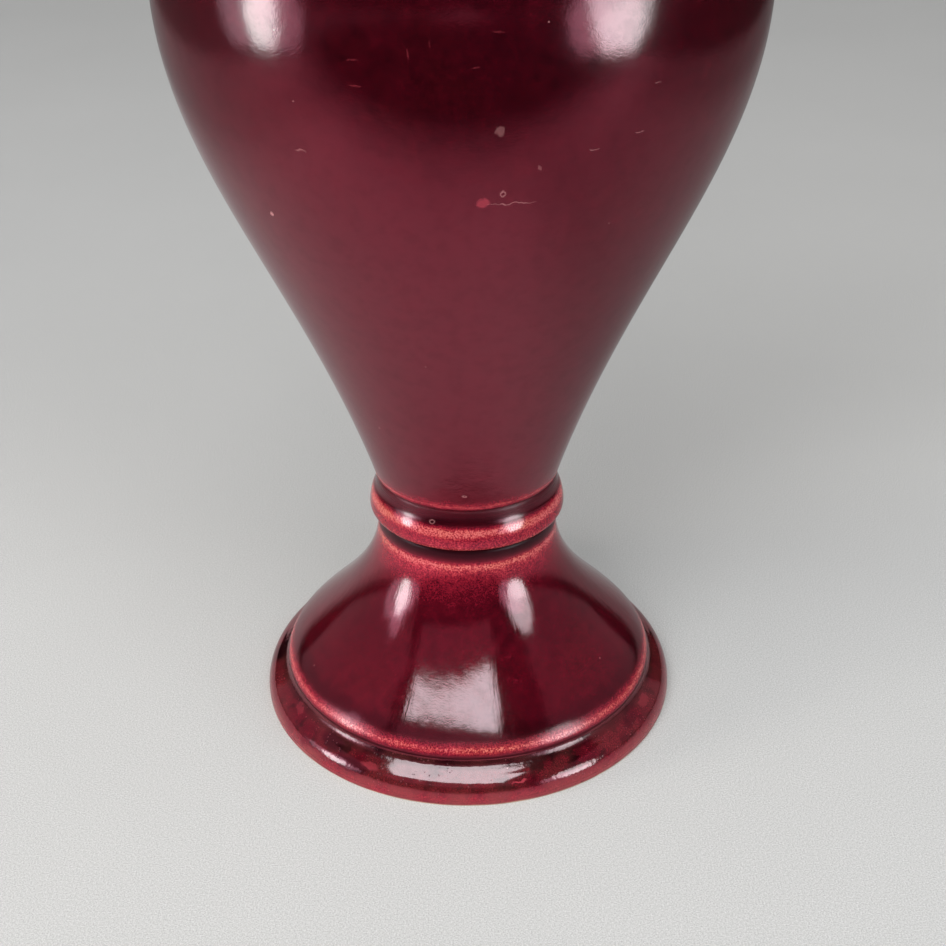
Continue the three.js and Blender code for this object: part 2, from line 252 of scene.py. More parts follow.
def bell_outline():
    top_centre = at(BELL_TOP_RADIUS - BELL_TOP_ROUND, COLLAR_SEAT - BELL_TOP_ROUND)
    top = round_stretch(top_centre, BELL_TOP_ROUND, 0, pi / 2)
    skin = down_inside(bell_curve, RING_SEAT + WALL, COLLAR_SEAT)
    return [at(bell_bore, RING_SEAT), *lip, *bell_curve[1:], *top[1:], at(FOOT_BORE, COLLAR_SEAT), *skin]


def collar_outline():
    """A rounded band, widest near its lower edge, which draws in to a groove under the body."""
    lower = at(COLLAR_RADIUS - COLLAR_LOWER_ROUND, COLLAR_WIDEST)
    upper = at(COLLAR_RADIUS - COLLAR_UPPER_ROUND, COLLAR_WIDEST)
    bulge = round_stretch(upper, COLLAR_UPPER_ROUND, 0, COLLAR_UPPER_TURN, steps=20)
    groove = at(BODY_FOOT_RADIUS - COLLAR_GROOVE_DEPTH, BODY_SEAT - COLLAR_GROOVE_DEPTH)
    hollow = wall_curve(
        bulge[-1], -COLLAR_UPPER_TURN, COLLAR_GROOVE_REACH,
        groove, COLLAR_GROOVE_LEAN, COLLAR_GROOVE_REACH, steps=10,
    )
    return [
        at(FOOT_BORE, COLLAR_SEAT), at(BELL_TOP_RADIUS - BELL_TOP_ROUND, COLLAR_SEAT),
        *round_stretch(lower, COLLAR_LOWER_ROUND, -pi / 2, 0), *bulge[1:], *hollow[1:],
        at(BODY_FOOT_RADIUS - BODY_FOOT_ROUND, BODY_SEAT), at(FOOT_BORE, BODY_SEAT),
    ]


def lower_body_outline():
    """The lower body closes the vessel, and a tenon under its floor sits in the collar."""
    floor_top = BODY_SEAT + BODY_FLOOR
    foot_centre = at(BODY_FOOT_RADIUS - BODY_FOOT_ROUND, BODY_SEAT + BODY_FOOT_ROUND)
    skin = down_inside(body_curve, floor_top + BODY_FLOOR_ROUND, BELLY_SEAT)
    floor_centre = at(skin[-1].x - BODY_FLOOR_ROUND, floor_top + BODY_FLOOR_ROUND)
    tenon = FOOT_BORE - TENON_GAP
    return [
        at(0, BODY_SEAT - TENON_DEPTH), at(tenon, BODY_SEAT - TENON_DEPTH), at(tenon, BODY_SEAT),
        *round_stretch(foot_centre, BODY_FOOT_ROUND, -pi / 2, 0), *body_curve[1:],
        at(belly_bore, BELLY_SEAT), *skin,
        *round_stretch(floor_centre, BODY_FLOOR_ROUND, 0, -pi / 2), at(0, floor_top),
    ]


def upper_body_outline():
    skin = down_inside(shoulder_curve, BELLY_SEAT, NECK_SEAT)
    return [at(belly_bore, BELLY_SEAT), *shoulder_curve, at(neck_bore, NECK_SEAT), *skin]


def neck_outline():
    bead_centre = at(NECK_ROOT_RADIUS, NECK_SEAT + NECK_BEAD)
    bead = round_stretch(bead_centre, NECK_BEAD, -pi / 2, pi / 2, steps=20)
    inside = [at(point.x - WALL, point.y) for point in reversed(neck_curve)]
    return [at(neck_bore, NECK_SEAT), *bead, *neck_curve[1:], *inside]


def rim_outline():
    centre = at(RIM_RADIUS - RIM_ROLL, RIM_TOP - RIM_ROLL)
    roll = round_stretch(centre, RIM_ROLL, RIM_ROLL_START, RIM_ROLL_END, steps=32)
    flare = wall_curve(
        at(NECK_TOP_RADIUS, RIM_SEAT), NECK_TOP_LEAN, RIM_BLEND,
        roll[0], pi / 2 + RIM_ROLL_START + RIM_FLARE_TURN, RIM_BLEND, steps=10,
    )
    throat = wall_curve(
        roll[-1], THROAT_TOP_LEAN, THROAT_TOP_REACH,
        at(rim_bore, RIM_SEAT), THROAT_ROOT_LEAN, THROAT_ROOT_REACH, steps=12,
    )
    return [*flare, *roll[1:], *throat[1:]]


# Modelling

def turn(name, outline):
    """Draws half the section of a piece as a chain of corners and spins it round the axis."""
    bpy.ops.object.select_all(action="DESELECT")
    bpy.ops.mesh.primitive_plane_add(size=MM)
    piece = bpy.context.object
    piece.name = piece.data.name = name
    bpy.ops.object.mode_set(mode="EDIT")
    bpy.ops.mesh.merge(type="CENTER")
    bpy.ops.transform.translate(value=(outline[0].x, 0, outline[0].y))
    closing = [] if outline[0].x == 0 else outline[:1]
    for before, after in zip(outline, outline[1:] + closing):
        step = after - before
        bpy.ops.mesh.extrude_vertices_move(TRANSFORM_OT_translate={"value": (step.x, 0, step.y)})
    bpy.ops.mesh.select_all(action="SELECT")
    bpy.ops.mesh.spin(steps=TURNING_SIDES, angle=2 * pi, center=(0, 0, 0), axis=(0, 0, 1))
    bpy.ops.mesh.select_all(action="SELECT")
    bpy.ops.mesh.remove_doubles(threshold=MERGE_REACH)
    bpy.ops.mesh.normals_make_consistent(inside=False)
    bpy.ops.object.mode_set(mode="OBJECT")
    bpy.ops.object.shade_smooth_by_angle(angle=SHARP_ANGLE)
    return piece


def point_at_height(curve, height):
    """The first point of a curve that reaches a height, with the way that the curve goes there."""
    index = next(place for place, point in enumerate(curve) if point.y >= height)
    before, after = curve[index - 1], curve[index]
    share = (height - before.y) / (after.y - before.y)
    return before.lerp(after, share), (after - before).normalized()


def handle_route():
    """Points along the middle of the right handle, from inside the shoulder to inside the neck."""
    low, low_way = point_at_height(shoulder_curve, NECK_SEAT - HANDLE_SHOULDER_DROP)
    high, _ = point_at_height(neck_curve, NECK_SEAT + HANDLE_NECK_HEIGHT)
    out_low = Vector((low_way.y, -low_way.x))
    out_high = Vector((cos(HANDLE_NECK_RISE), sin(HANDLE_NECK_RISE)))
    leave = low + out_low * HANDLE_SHOULDER_REACH
    arrive = high + out_high * HANDLE_NECK_REACH
    shares = [step / HANDLE_STEPS for step in range(HANDLE_STEPS + 1)]
    route = [on_bezier(low, leave, arrive, high, share) for share in shares]
    return [low - out_low * HANDLE_ROOT_SINK, *route, high - out_high * HANDLE_ROOT_SINK]


def shape_handle(name):
    """Extrudes an oval ring along the handle's route, turned to it and spread at both roots."""
    route = handle_route()
    ways = [(after - before).normalized() for before, after in zip(route, route[1:])]
    facings = [ways[0], *[(a + b).normalized() for a, b in zip(ways, ways[1:])], ways[-1]]
    travelled = [0]
    for before, after in zip(route, route[1:]):
        travelled.append(travelled[-1] + (after - before).length)
    spreads = []
    for gone in travelled:
        from_root = max(0, min(gone, travelled[-1] - gone) - HANDLE_ROOT_SINK)
        spreads.append(HANDLE_ROOT_SPREAD * max(0, 1 - from_root / HANDLE_ROOT_LENGTH) ** HANDLE_ROOT_FALL)
    bpy.ops.object.select_all(action="DESELECT")
    bpy.ops.mesh.primitive_circle_add(vertices=HANDLE_SIDES, radius=1)
    handle = bpy.context.object
    handle.name = handle.data.name = name
    bpy.ops.object.mode_set(mode="EDIT")
    size = (HANDLE_THICKNESS / 2 + spreads[0], HANDLE_WIDTH / 2 + spreads[0])
    bpy.ops.transform.resize(value=(size[0], size[1], 1))
    facing = Vector((0, 1))
    for index, (place, way, spread) in enumerate(zip(route, facings, spreads)):
        step = place - (route[index - 1] if index else Vector((0, 0)))
        if index:
            bpy.ops.mesh.extrude_edges_move(TRANSFORM_OT_translate={"value": (step.x, 0, step.y)})
        else:
            bpy.ops.transform.translate(value=(step.x, 0, step.y))
        middle = Vector((place.x, 0, place.y))
        grown = (HANDLE_THICKNESS / 2 + spread, HANDLE_WIDTH / 2 + spread)
        thicker, wider = grown[0] / size[0], grown[1] / size[1]
        bpy.ops.transform.resize(value=(thicker, wider, thicker), center_override=middle)
        turning = facing.angle_signed(way)
        bpy.ops.transform.rotate(value=-turning, orient_axis="Y", center_override=middle)
        size, facing = grown, way
    bpy.ops.mesh.select_all(action="SELECT")
    bpy.ops.mesh.region_to_loop()
    bpy.ops.mesh.fill_holes(sides=0)
    bpy.ops.mesh.select_all(action="SELECT")
    bpy.ops.mesh.normals_make_consistent(inside=False)
    bpy.ops.object.mode_set(mode="OBJECT")
    smooth = handle.modifiers.new("smooth", "SUBSURF")
    smooth.levels = smooth.render_levels = 1
    bpy.ops.object.modifier_apply(modifier=smooth.name)
    bpy.ops.object.shade_smooth_by_angle(angle=SHARP_ANGLE)
    return handle


def copy_across(piece, name):
    """A copy with its own mesh, turned half way round the vase."""
    bpy.ops.object.select_all(action="DESELECT")
    piece.select_set(True)
    bpy.context.view_layer.objects.active = piece
    bpy.ops.object.duplicate()
    copy = bpy.context.object
    copy.name = copy.data.name = name
    bpy.ops.object.mode_set(mode="EDIT")
    bpy.ops.mesh.select_all(action="SELECT")
    bpy.ops.transform.rotate(value=pi, orient_axis="Z", center_override=(0, 0, 0))
    bpy.ops.object.mode_set(mode="OBJECT")
    return copy


# Finishes

class Field:
    """A socket whose value changes over a surface. Sums on fields add Math nodes."""

    def __init__(self, finish, socket):
        self.finish = finish
        self.socket = socket

    def __add__(self, other):
        return self.finish.math("ADD", self, other)

    def __sub__(self, other):
        return self.finish.math("SUBTRACT", self, other)

    def __rsub__(self, other):
        return self.finish.math("SUBTRACT", other, self)

    def __mul__(self, other):
        return self.finish.math("MULTIPLY", self, other)

    def __truediv__(self, other):
        return self.finish.math("DIVIDE", self, other)

    __radd__ = __add__
    __rmul__ = __mul__


class Finish:
    """A material's nodes, built from the surface's own coordinates in metres."""

    def __init__(self, name):
        self.material = bpy.data.materials.new(name)
        self.material.use_nodes = True
        self.nodes = self.material.node_tree.nodes
        self.links = self.material.node_tree.links
        self.nodes.clear()
        self.place = self.node("ShaderNodeTexCoord").outputs["Object"]
        # A place that is pushed about a little, for marks with uneven outlines
        swirl = self.node("ShaderNodeTexNoise", values={"Vector": self.place, "Scale": 1 / SWIRL_SIZE})
        push = Vector((1, 1, 1)) * SWIRL_PUSH
        pushed = self.vector_math("MULTIPLY_ADD", swirl.outputs["Color"], push, -push / 2)
        self.bent = self.vector_math("ADD", self.place, pushed)

    def node(self, kind, settings=(), values=()):
        """Adds a node, sets it up, and gives its sockets numbers, colours or links."""
        made = self.nodes.new(kind)
        settings = dict(settings)
        stops = settings.pop("stops", None)
        for name, setting in settings.items():
            setattr(made, name, setting)
        if stops:
            elements = made.color_ramp.elements
            for place, colour in stops[2:]:
                elements.new(place)
            for element, (place, colour) in zip(elements, stops):
                element.position = place
                element.color = colour if len(colour) == 4 else (*colour, 1)
        for name, value in dict(values).items():
            socket = made.inputs[name]
            if isinstance(value, Field):
                value = value.socket
            if isinstance(value, bpy.types.NodeSocket):
                self.links.new(value, socket)
            else:
                socket.default_value = value
        return made

    def math(self, operation, *values, clamp=False):
        settings = {"operation": operation, "use_clamp": clamp}
        made = self.node("ShaderNodeMath", settings, dict(enumerate(values)))
        return Field(self, made.outputs[0])

    def clamped(self, value):
        return self.math("ADD", value, 0.0, clamp=True)

    def vector_math(self, operation, *values):
        settings = {"operation": operation}
        made = self.node("ShaderNodeVectorMath", settings, dict(enumerate(values)))
        return made.outputs["Value" if operation == "LENGTH" else "Vector"]

    def parts(self, vector):
        made = self.node("ShaderNodeSeparateXYZ", values={0: vector})
        return [Field(self, socket) for socket in made.outputs]

    def vector(self, x, y, z):
        return self.node("ShaderNodeCombineXYZ", values={0: x, 1: y, 2: z}).outputs[0]

    def noise(self, size, detail=2.0, roughness=0.5, place=None):
        """Soft noise with features of a size, from 0 to 1."""
        values = {
            "Vector": place or self.place, "Scale": 1 / size, "Detail": detail, "Roughness": roughness,
        }
        return Field(self, self.node("ShaderNodeTexNoise", values=values).outputs[0])

    def sway(self, size, detail, roughness):
        """Soft noise about zero."""
        return self.noise(size, detail, roughness) - 0.5

    def patches(self, size, span, detail, roughness):
        """Soft-edged patches, 0 where the noise is below a span and 1 where it is above."""
        return self.rise(self.noise(size, detail, roughness), *span)

    def dots(self, spacing, span):
        """Scattered round dots, which fade out over a span of radii in shares of their spacing."""
        values = {"Vector": self.place, "Scale": 1 / spacing}
        nearest = self.node("ShaderNodeTexVoronoi", values=values).outputs["Distance"]
        return 1 - self.rise(Field(self, nearest), *span)

    def rise(self, value, start, end):
        """From 0 to 1 as a value goes from start to end, softly."""
        settings = {"interpolation_type": "SMOOTHSTEP"}
        values = {"Value": value, "From Min": start, "From Max": end}
        return Field(self, self.node("ShaderNodeMapRange", settings, values).outputs["Result"])

    def ramp(self, value, stops):
        return self.node("ShaderNodeValToRGB", {"stops": stops}, {0: value}).outputs[0]

    def mix(self, share, low, high, blend="MIX"):
        """Mixes two colours."""
        settings = {"data_type": "RGBA", "blend_type": blend, "clamp_factor": True}
        return self.node("ShaderNodeMix", settings, {0: share, 6: low, 7: high}).outputs[2]

    def bump(self, height, distance, normal=None):
        values = {"Height": height, "Distance": distance}
        if normal:
            values["Normal"] = normal
        return self.node("ShaderNodeBump", values=values).outputs[0]

    def fault(self, place, reach, ringed):
        """A small mark round a place, from 1 in its middle to 0 at its reach, or only its rim."""
        gone = self.vector_math("SUBTRACT", self.bent, Vector(place) * MM)
        share = Vector([1 / (part * MM) for part in reach])
        far = Field(self, self.vector_math("LENGTH", self.vector_math("MULTIPLY", gone, share)))
        inside = 1 - self.rise(far, *FAULT_EDGE)
        return inside * self.rise(far, *FAULT_RIM) if ringed else inside

    def both(self, share, first, second):
        """Mixes two shaders."""
        values = {0: share, 1: first.outputs[0], 2: second.outputs[0]}
        return self.node("ShaderNodeMixShader", values=values)

    def finished(self, shader):
        self.node("ShaderNodeOutputMaterial", values={"Surface": shader.outputs[0]})
        return self.material


# How the glaze lies, by height in mm: how thin it is, how rough, and how much of its lustre it keeps.
# It runs thin on the crests, where the clay glows through. Its thinness is low in the grooves and crevices,
# so that they are dark: partly glaze pooled there and partly painted shade.
RING_BANDS = (
    (0, 0.62, 0.40, 0.6), (1.4, 0.66, 0.30, 0.8), (2.4, 0.66, 0.22, 0.9), (3.2, 0.52, 0.14, 1),
    (4.2, 0.46, 0.09, 1), (5.4, 0.40, 0.08, 1), (6.4, 0.42, 0.08, 1), (7.8, 0.42, 0.08, 1),
    # Up into the pool under the foot's lip it darkens: pooled glaze, with painted shade.
    (8.5, 0.16, 0.12, 0.9), (9.2, 0.08, 0.16, 0.8), (11.0, 0.10, 0.16, 0.8),
)
FOOT_BANDS = (
    (9.2, 0.10, 0.30, 0.25), (10.2, 0.16, 0.30, 0.3), (11.0, 0.40, 0.28, 0.5), (11.7, 0.70, 0.26, 0.7),
    (12.5, 0.86, 0.26, 0.8), (13.2, 0.66, 0.26, 0.8), (13.9, 0.50, 0.22, 0.9), (14.6, 0.26, 0.14, 0.9),
    (15.6, 0.24, 0.09, 1), (18, 0.36, 0.085, 1), (24, 0.39, 0.085, 1), (34, 0.36, 0.085, 1),
    (38, 0.37, 0.085, 1), (42, 0.44, 0.085, 1), (46, 0.56, 0.09, 1), (48.2, 0.64, 0.11, 1),
    (49.4, 0.76, 0.14, 1), (50.5, 0.95, 0.18, 0.9), (51.2, 0.78, 0.24, 0.8), (51.9, 0.46, 0.30, 0.6),
    # Up under the collar, in the crevice, it darkens: pooled glaze, with painted shade.
    (52.8, 0.24, 0.36, 0.35), (53.6, 0.10, 0.40, 0.2), (55.5, 0.06, 0.40, 0.15),
)
COLLAR_BANDS = (
    (55.5, 0.60, 0.40, 0.3), (56.0, 0.88, 0.30, 0.6), (56.8, 0.84, 0.20, 0.9), (57.6, 0.68, 0.16, 1),
    (58.9, 0.64, 0.12, 1), (59.7, 0.64, 0.12, 1), (60.5, 0.86, 0.12, 1), (61.25, 0.96, 0.12, 1),
    # From here into the groove under the body it darkens: pooled glaze, with painted shade.
    (62.0, 0.86, 0.12, 1), (62.7, 0.56, 0.14, 0.9), (63.3, 0.26, 0.16, 0.9), (64.3, 0.18, 0.20, 0.8),
    (65.6, 0.24, 0.30, 0.6), (66.6, 0.36, 0.40, 0.4), (67, 0.40, 0.44, 0.3),
)
BODY_BANDS = (
    (64, 0.30, 0.40, 0.3), (67, 0.34, 0.40, 0.3), (67.8, 0.56, 0.34, 0.5), (68.6, 0.86, 0.30, 0.7),
    (69.5, 0.56, 0.22, 0.9), (71.5, 0.36, 0.16, 1), (75, 0.31, 0.128, 1), (100, 0.29, 0.128, 1),
    (150, 0.27, 0.128, 1), (191, 0.25, 0.128, 1), (230, 0.27, 0.128, 1), (247, 0.36, 0.128, 1),
    (251, 0.48, 0.20, 0.8),
)
NECK_BANDS = (
    (251, 0.36, 0.30, 0.5), (252, 0.60, 0.20, 0.9), (253.2, 0.84, 0.18, 1), (254.6, 0.56, 0.16, 1),
    (255.8, 0.32, 0.16, 0.8), (258, 0.29, 0.13, 1), (300, 0.32, 0.13, 1), (316, 0.46, 0.13, 1),
)
RIM_BANDS = (
    (316, 0.46, 0.13, 1), (320, 0.56, 0.13, 1), (322.5, 0.72, 0.15, 1), (324.2, 0.90, 0.20, 0.9),
    (325, 0.84, 0.20, 0.9),
)
HANDLE_BANDS = ((230, 0.33, 0.12, 1), (262, 0.33, 0.12, 1), (296, 0.48, 0.12, 1), (304, 0.60, 0.14, 1))

# Colours of the glaze over its clay, from the deepest pool to the barest edge
GLAZE_DEPTHS = (
    (0.00, (0.006, 0.0003, 0.0012)),
    (0.15, (0.013, 0.0004, 0.0018)),
    (0.30, (0.028, 0.0008, 0.0030)),
    (0.45, (0.062, 0.0018, 0.0060)),
    (0.60, (0.125, 0.0045, 0.0125)),
    (0.75, (0.235, 0.0135, 0.0250)),
    (0.88, (0.345, 0.0420, 0.0470)),
    (1.00, (0.440, 0.1050, 0.1000)),
)
THIN_TAN = (0.15, 0.034, 0.031, 1)
RAW_CLAY = (0.50, 0.36, 0.27, 1)
PALE = (0.62, 0.30, 0.30, 1)
RED = (0.42, 0.05, 0.07, 1)
DEEP = (0.010, 0.0005, 0.002, 1)
# The copper in the glaze gives it a red lustre: square on it mirrors red, and at a graze it mirrors white.
LUSTRE_IOR = 2.4
LUSTRE = (1.0, 0.155, 0.25, 1)
MATT_GLOSS = 0.15
MATT_TINT = (1, 0.4, 0.6, 1)

# Marks: how far noise pushes their outlines about, and where they fade, in shares of their reach
SWIRL_SIZE = 1.6 * MM
SWIRL_PUSH = 1.4 * MM
FAULT_EDGE = (0.55, 1.0)
FAULT_RIM = (0.35, 0.6)

# Noise that sways the glaze: size, detail and roughness. The bands wander by mm, the rest by shares of how
# thin the glaze is, and the grain shows most where it is thin.
WANDER = (9 * MM, 3, 0.5)
CLOUD = (24 * MM, 2, 0.5)
MOTTLE = (2.6 * MM, 3, 0.6)
GRAIN = (0.42 * MM, 2, 0.6)
BAND_WANDER = 0.7
CLOUDING = 0.14
THIN_GRAIN = 1.9
EVEN_GRAIN = 0.12

# Patches in the glaze: size, the span of noise in which they fade in, detail and roughness
HAZED = (3.5 * MM, (0.42, 0.68), 4, 0.7)
BROWNED = (16 * MM, (0.42, 0.72), 4, 0.65)
POOLED = (7 * MM, (0.52, 0.62), 4, 0.65)
VEILED = (8 * MM, (0.30, 0.62), 3, 0.5)
PINHOLED = (6 * MM, (0.50, 0.60), 2, 0.5)
HAZE = 0.13
BROWNING = 0.55
BROWNER = (1.0, 1.5, 0.85, 1)
POOL_HEIGHTS = (3.6 * MM, 5.6 * MM)
VEIL_HEIGHTS = (3.2 * MM, 4.6 * MM)
VEIL_LOSS = 0.65

# Dots in the glaze: spacing, and the span of radii in which they fade out
SPECKS = (7.5 * MM, (0.016, 0.032))
SPECKLING = 0.35
PINHOLES = (0.9 * MM, (0.15, 0.24))
PINHOLE = (0.03, 0.005, 0.008, 1)
PINHOLE_ROUGH = 0.5
RAW_HEIGHTS = (0.35 * MM, 0.75 * MM)
RAW_WANDER = 0.5 * MM
RAW_ROUGH = 0.4

# Relief of the glaze. The base ring's slope is smooth between two heights, and the streaks are drawn on
# a tube of one radius, stretched along it, so that they run straight down.
SKIN_GRAIN = 0.40 * MM
SKIN_RIPPLE = 3.5 * MM
RIPPLE_SHARE = 2.5
DIMPLE = 1.4 * MM
DIMPLE_DEPTH = 0.07 * MM
SMOOTH_FROM = (5.0 * MM, 6.4 * MM)
SMOOTH_TO = (7.4 * MM, 8.3 * MM)
STREAK = 0.8 * MM
STREAK_RADIUS = 30 * MM
STREAK_STRETCH = 0.10


def glaze_relief(finish, x, y, z, depth, streaks, dimpled):
    """The grain of the glaze, with dimples round the base ring's smooth slope and streaks down the foot."""
    normal = finish.bump(finish.noise(SKIN_GRAIN, 2, 0.6), depth)
    normal = finish.bump(finish.noise(SKIN_RIPPLE, 2), depth * RIPPLE_SHARE, normal)
    if dimpled:
        smooth = finish.rise(z, *SMOOTH_FROM) * (1 - finish.rise(z, *SMOOTH_TO))
        normal = finish.bump(finish.noise(DIMPLE, 3) * (1 - smooth), DIMPLE_DEPTH, normal)
    if streaks:
        radius = finish.math("SQRT", x * x + y * y)
        around = finish.vector(x / radius * STREAK_RADIUS, y / radius * STREAK_RADIUS, z * STREAK_STRETCH)
        normal = finish.bump(finish.noise(STREAK, 2, 0.6, place=around), streaks, normal)
    return normal


def oxblood(name, bands, relief, streaks=0.0, pools=0.0, tanning=0.0, pinholes=0.0,
            mottling=0.16, marks=()):
    """Copper-red glaze: mottled, speckled brick red where it lies thin, with pinholes and fine marks."""
    finish = Finish(name)
    x, y, z = finish.parts(finish.place)
    wander = finish.sway(*WANDER)
    lowest, highest = bands[0][0], bands[-1][0]
    height = (z / MM + wander * BAND_WANDER - lowest) / (highest - lowest)
    stops = [((band[0] - lowest) / (highest - lowest), band[1:]) for band in bands]
    # Thinness from the bands, low in the grooves and crevices for pooled glaze and for painted shade
    thinness_and_shade, rough, gloss = finish.parts(finish.ramp(height, stops))
    gloss = gloss * (1 - finish.patches(*HAZED) * HAZE)
    grain = finish.sway(*GRAIN) * (thinness_and_shade * thinness_and_shade * THIN_GRAIN + EVEN_GRAIN)
    thinness_and_shade = thinness_and_shade + grain + finish.sway(*MOTTLE) * mottling + finish.sway(*CLOUD) * CLOUDING
    if pools:
        thinness_and_shade = thinness_and_shade - finish.patches(*POOLED) * finish.rise(z, *POOL_HEIGHTS) * pools
    colour = finish.ramp(finish.clamped(thinness_and_shade), GLAZE_DEPTHS)
    browner = finish.mix(1.0, colour, BROWNER, "MULTIPLY")
    colour = finish.mix(finish.patches(*BROWNED) * BROWNING, colour, browner)
    if tanning:
        veil = finish.patches(*VEILED) * (1 - finish.rise(z, *VEIL_HEIGHTS) * VEIL_LOSS)
        colour = finish.mix(veil * tanning, colour, THIN_TAN)
    colour = finish.mix(finish.dots(*SPECKS) * SPECKLING, colour, PALE)
    for place, reach, tone, strength, ringed in marks:
        colour = finish.mix(finish.fault(place, reach, ringed) * strength, colour, tone)
    if pinholes:
        pin = finish.dots(*PINHOLES) * finish.patches(*PINHOLED) * pinholes
        colour = finish.mix(pin, colour, PINHOLE)
        raw = 1 - finish.rise(z + wander * RAW_WANDER, *RAW_HEIGHTS)
        colour = finish.mix(raw, colour, RAW_CLAY)
        rough = rough + raw * RAW_ROUGH + pin * PINHOLE_ROUGH
    normal = glaze_relief(finish, x, y, z, relief, streaks, dimpled=bool(pools))
    surface = {"Base Color": colour, "Roughness": rough, "Normal": normal}
    matt = {**surface, "Specular IOR Level": MATT_GLOSS, "Specular Tint": MATT_TINT}
    lustrous = {**surface, "IOR": LUSTRE_IOR, "Specular Tint": LUSTRE}
    shaders = [finish.node("ShaderNodeBsdfPrincipled", values=values) for values in (matt, lustrous)]
    return finish.finished(finish.both(gloss, *shaders))


# The table: its grain and clouds, and where it starts to glow to meet the backdrop, in metres from the vase
TABLE_GRAIN = 0.38 * MM
TABLE_CLOUD = 150 * MM
TABLE_CLOUDING = 0.07
TABLE_TONES = ((0.30, (0.34, 0.34, 0.335)), (0.70, (0.58, 0.58, 0.575)))
TABLE_RELIEF = 0.03 * MM
FAR_GLOW_FROM = (1.0, 4.0)
FAR_GLOW = (0.27, 0.27, 0.268, 1)

# The dark card: painted shade that only reflections see. Its oval beyond the table's front edge lies round a
# far middle, and the places where its other parts start and are full are in metres, each with how dark it
# gets.
FRONT_MIDDLE = -1.6
FRONT_REACH = (1.2, 1.48)
FRONT_FADE = 0.845
SIDE_FADE = (0.52, 0.66)
RIGHT_SIDE_DARK = 0.85
LEFT_SIDE_DARK = 0.65
# The near right patch and the far side parts lie over the table itself and dim its reflection: painted shade.
NEAR_RIGHT = (0.03, 0.13)
NEAR_RIGHT_ALONG = (-0.26, -0.14)
NEAR_RIGHT_DARK = 0.38
FAR_RIGHT = (0.29, 0.44)
FAR_RIGHT_DARK = 0.35
FAR_LEFT = (0.20, 0.34)
FAR_LEFT_DARK = 0.33


def table_top():
    """Pale grey, close-grained and matt. Far out it glows a little, so that it meets the backdrop evenly."""
    finish = Finish("pale_table")
    x, y, _ = finish.parts(finish.place)
    far = finish.rise(finish.math("SQRT", x * x + y * y), *FAR_GLOW_FROM)
    grain = finish.noise(TABLE_GRAIN, 2, 0.65)
    shade = grain * (1 - TABLE_CLOUDING) + finish.noise(TABLE_CLOUD, 3) * TABLE_CLOUDING
    return finish.finished(finish.node("ShaderNodeBsdfPrincipled", values={
        "Base Color": finish.ramp(shade, TABLE_TONES),
        "Roughness": 0.9, "Specular IOR Level": 0.0, "Normal": finish.bump(grain, TABLE_RELIEF),
        "Emission Color": finish.mix(far, (0, 0, 0, 1), FAR_GLOW), "Emission Strength": 1.0,
    }))


def dim_card():
    """Painted shade for reflections: black in front and at both sides, clear over the table's lit middle, and
    dim in patches near the right and far to either side.
    """
    finish = Finish("black_card")
    x, y, _ = finish.parts(finish.place)
    across, along = x / FRONT_REACH[0], (y - FRONT_MIDDLE) / FRONT_REACH[1]
    out = finish.math("SQRT", across * across + along * along)
    clear = finish.rise(out, FRONT_FADE, 1.0)
    left = -1 * x
    shades = (
        (finish.rise(x, *SIDE_FADE), RIGHT_SIDE_DARK),
        (finish.rise(left, *SIDE_FADE), LEFT_SIDE_DARK),
        (finish.rise(x, *NEAR_RIGHT) * finish.rise(y, *NEAR_RIGHT_ALONG), NEAR_RIGHT_DARK),
        (finish.rise(x, *FAR_RIGHT), FAR_RIGHT_DARK),
        (finish.rise(left, *FAR_LEFT), FAR_LEFT_DARK),
    )
    for shade, dark in shades:
        clear = clear * (1 - shade * dark)
    black = finish.node("ShaderNodeBsdfDiffuse", values={"Color": (0.006, 0.006, 0.006, 1)})
    glass = finish.node("ShaderNodeBsdfTransparent")
    return finish.finished(finish.both(clear, black, glass))


# Studio

STAGE_REACH = 12
TABLE_DROP = 0.02 * MM
CARD_HEIGHT = 0.6 * MM


def stage_sheet(name, height, material):
    """A wide flat sheet at a height. It isn't part of the vase."""
    bpy.ops.object.select_all(action="DESELECT")
    bpy.ops.mesh.primitive_plane_add(size=2 * STAGE_REACH, location=(0, 0, height))
    sheet = bpy.context.object
    sheet.name = sheet.data.name = name
    sheet.data.materials.append(material)
    return sheet


def lamp(name, place, aim, size, radiance, colour, shape="RECTANGLE", mirrored=True, spread=pi):
    """A soft lamp that faces a point. It either shows in reflections or lights, never both."""
    light = bpy.data.lights.new(name, "AREA")
    light.shape = shape
    light.size, light.size_y = size
    area = size[0] * size[1] * (pi / 4 if shape == "ELLIPSE" else 1)
    light.energy = radiance * pi * area
    if spread < pi:
        # All its energy goes into the narrower beam, so some is taken off to keep its radiance
        light.spread = spread
        light.energy *= 1 - spread / 2 / tan(spread / 2)
    light.color = colour
    stand = bpy.data.objects.new(name, light)
    stand.location = place
    stand.rotation_euler = (Vector(aim) - Vector(place)).to_track_quat("-Z", "Y").to_euler()
    stand.visible_camera = False
    stand.visible_diffuse = not mirrored
    stand.visible_glossy = mirrored
    bpy.context.scene.collection.objects.link(stand)


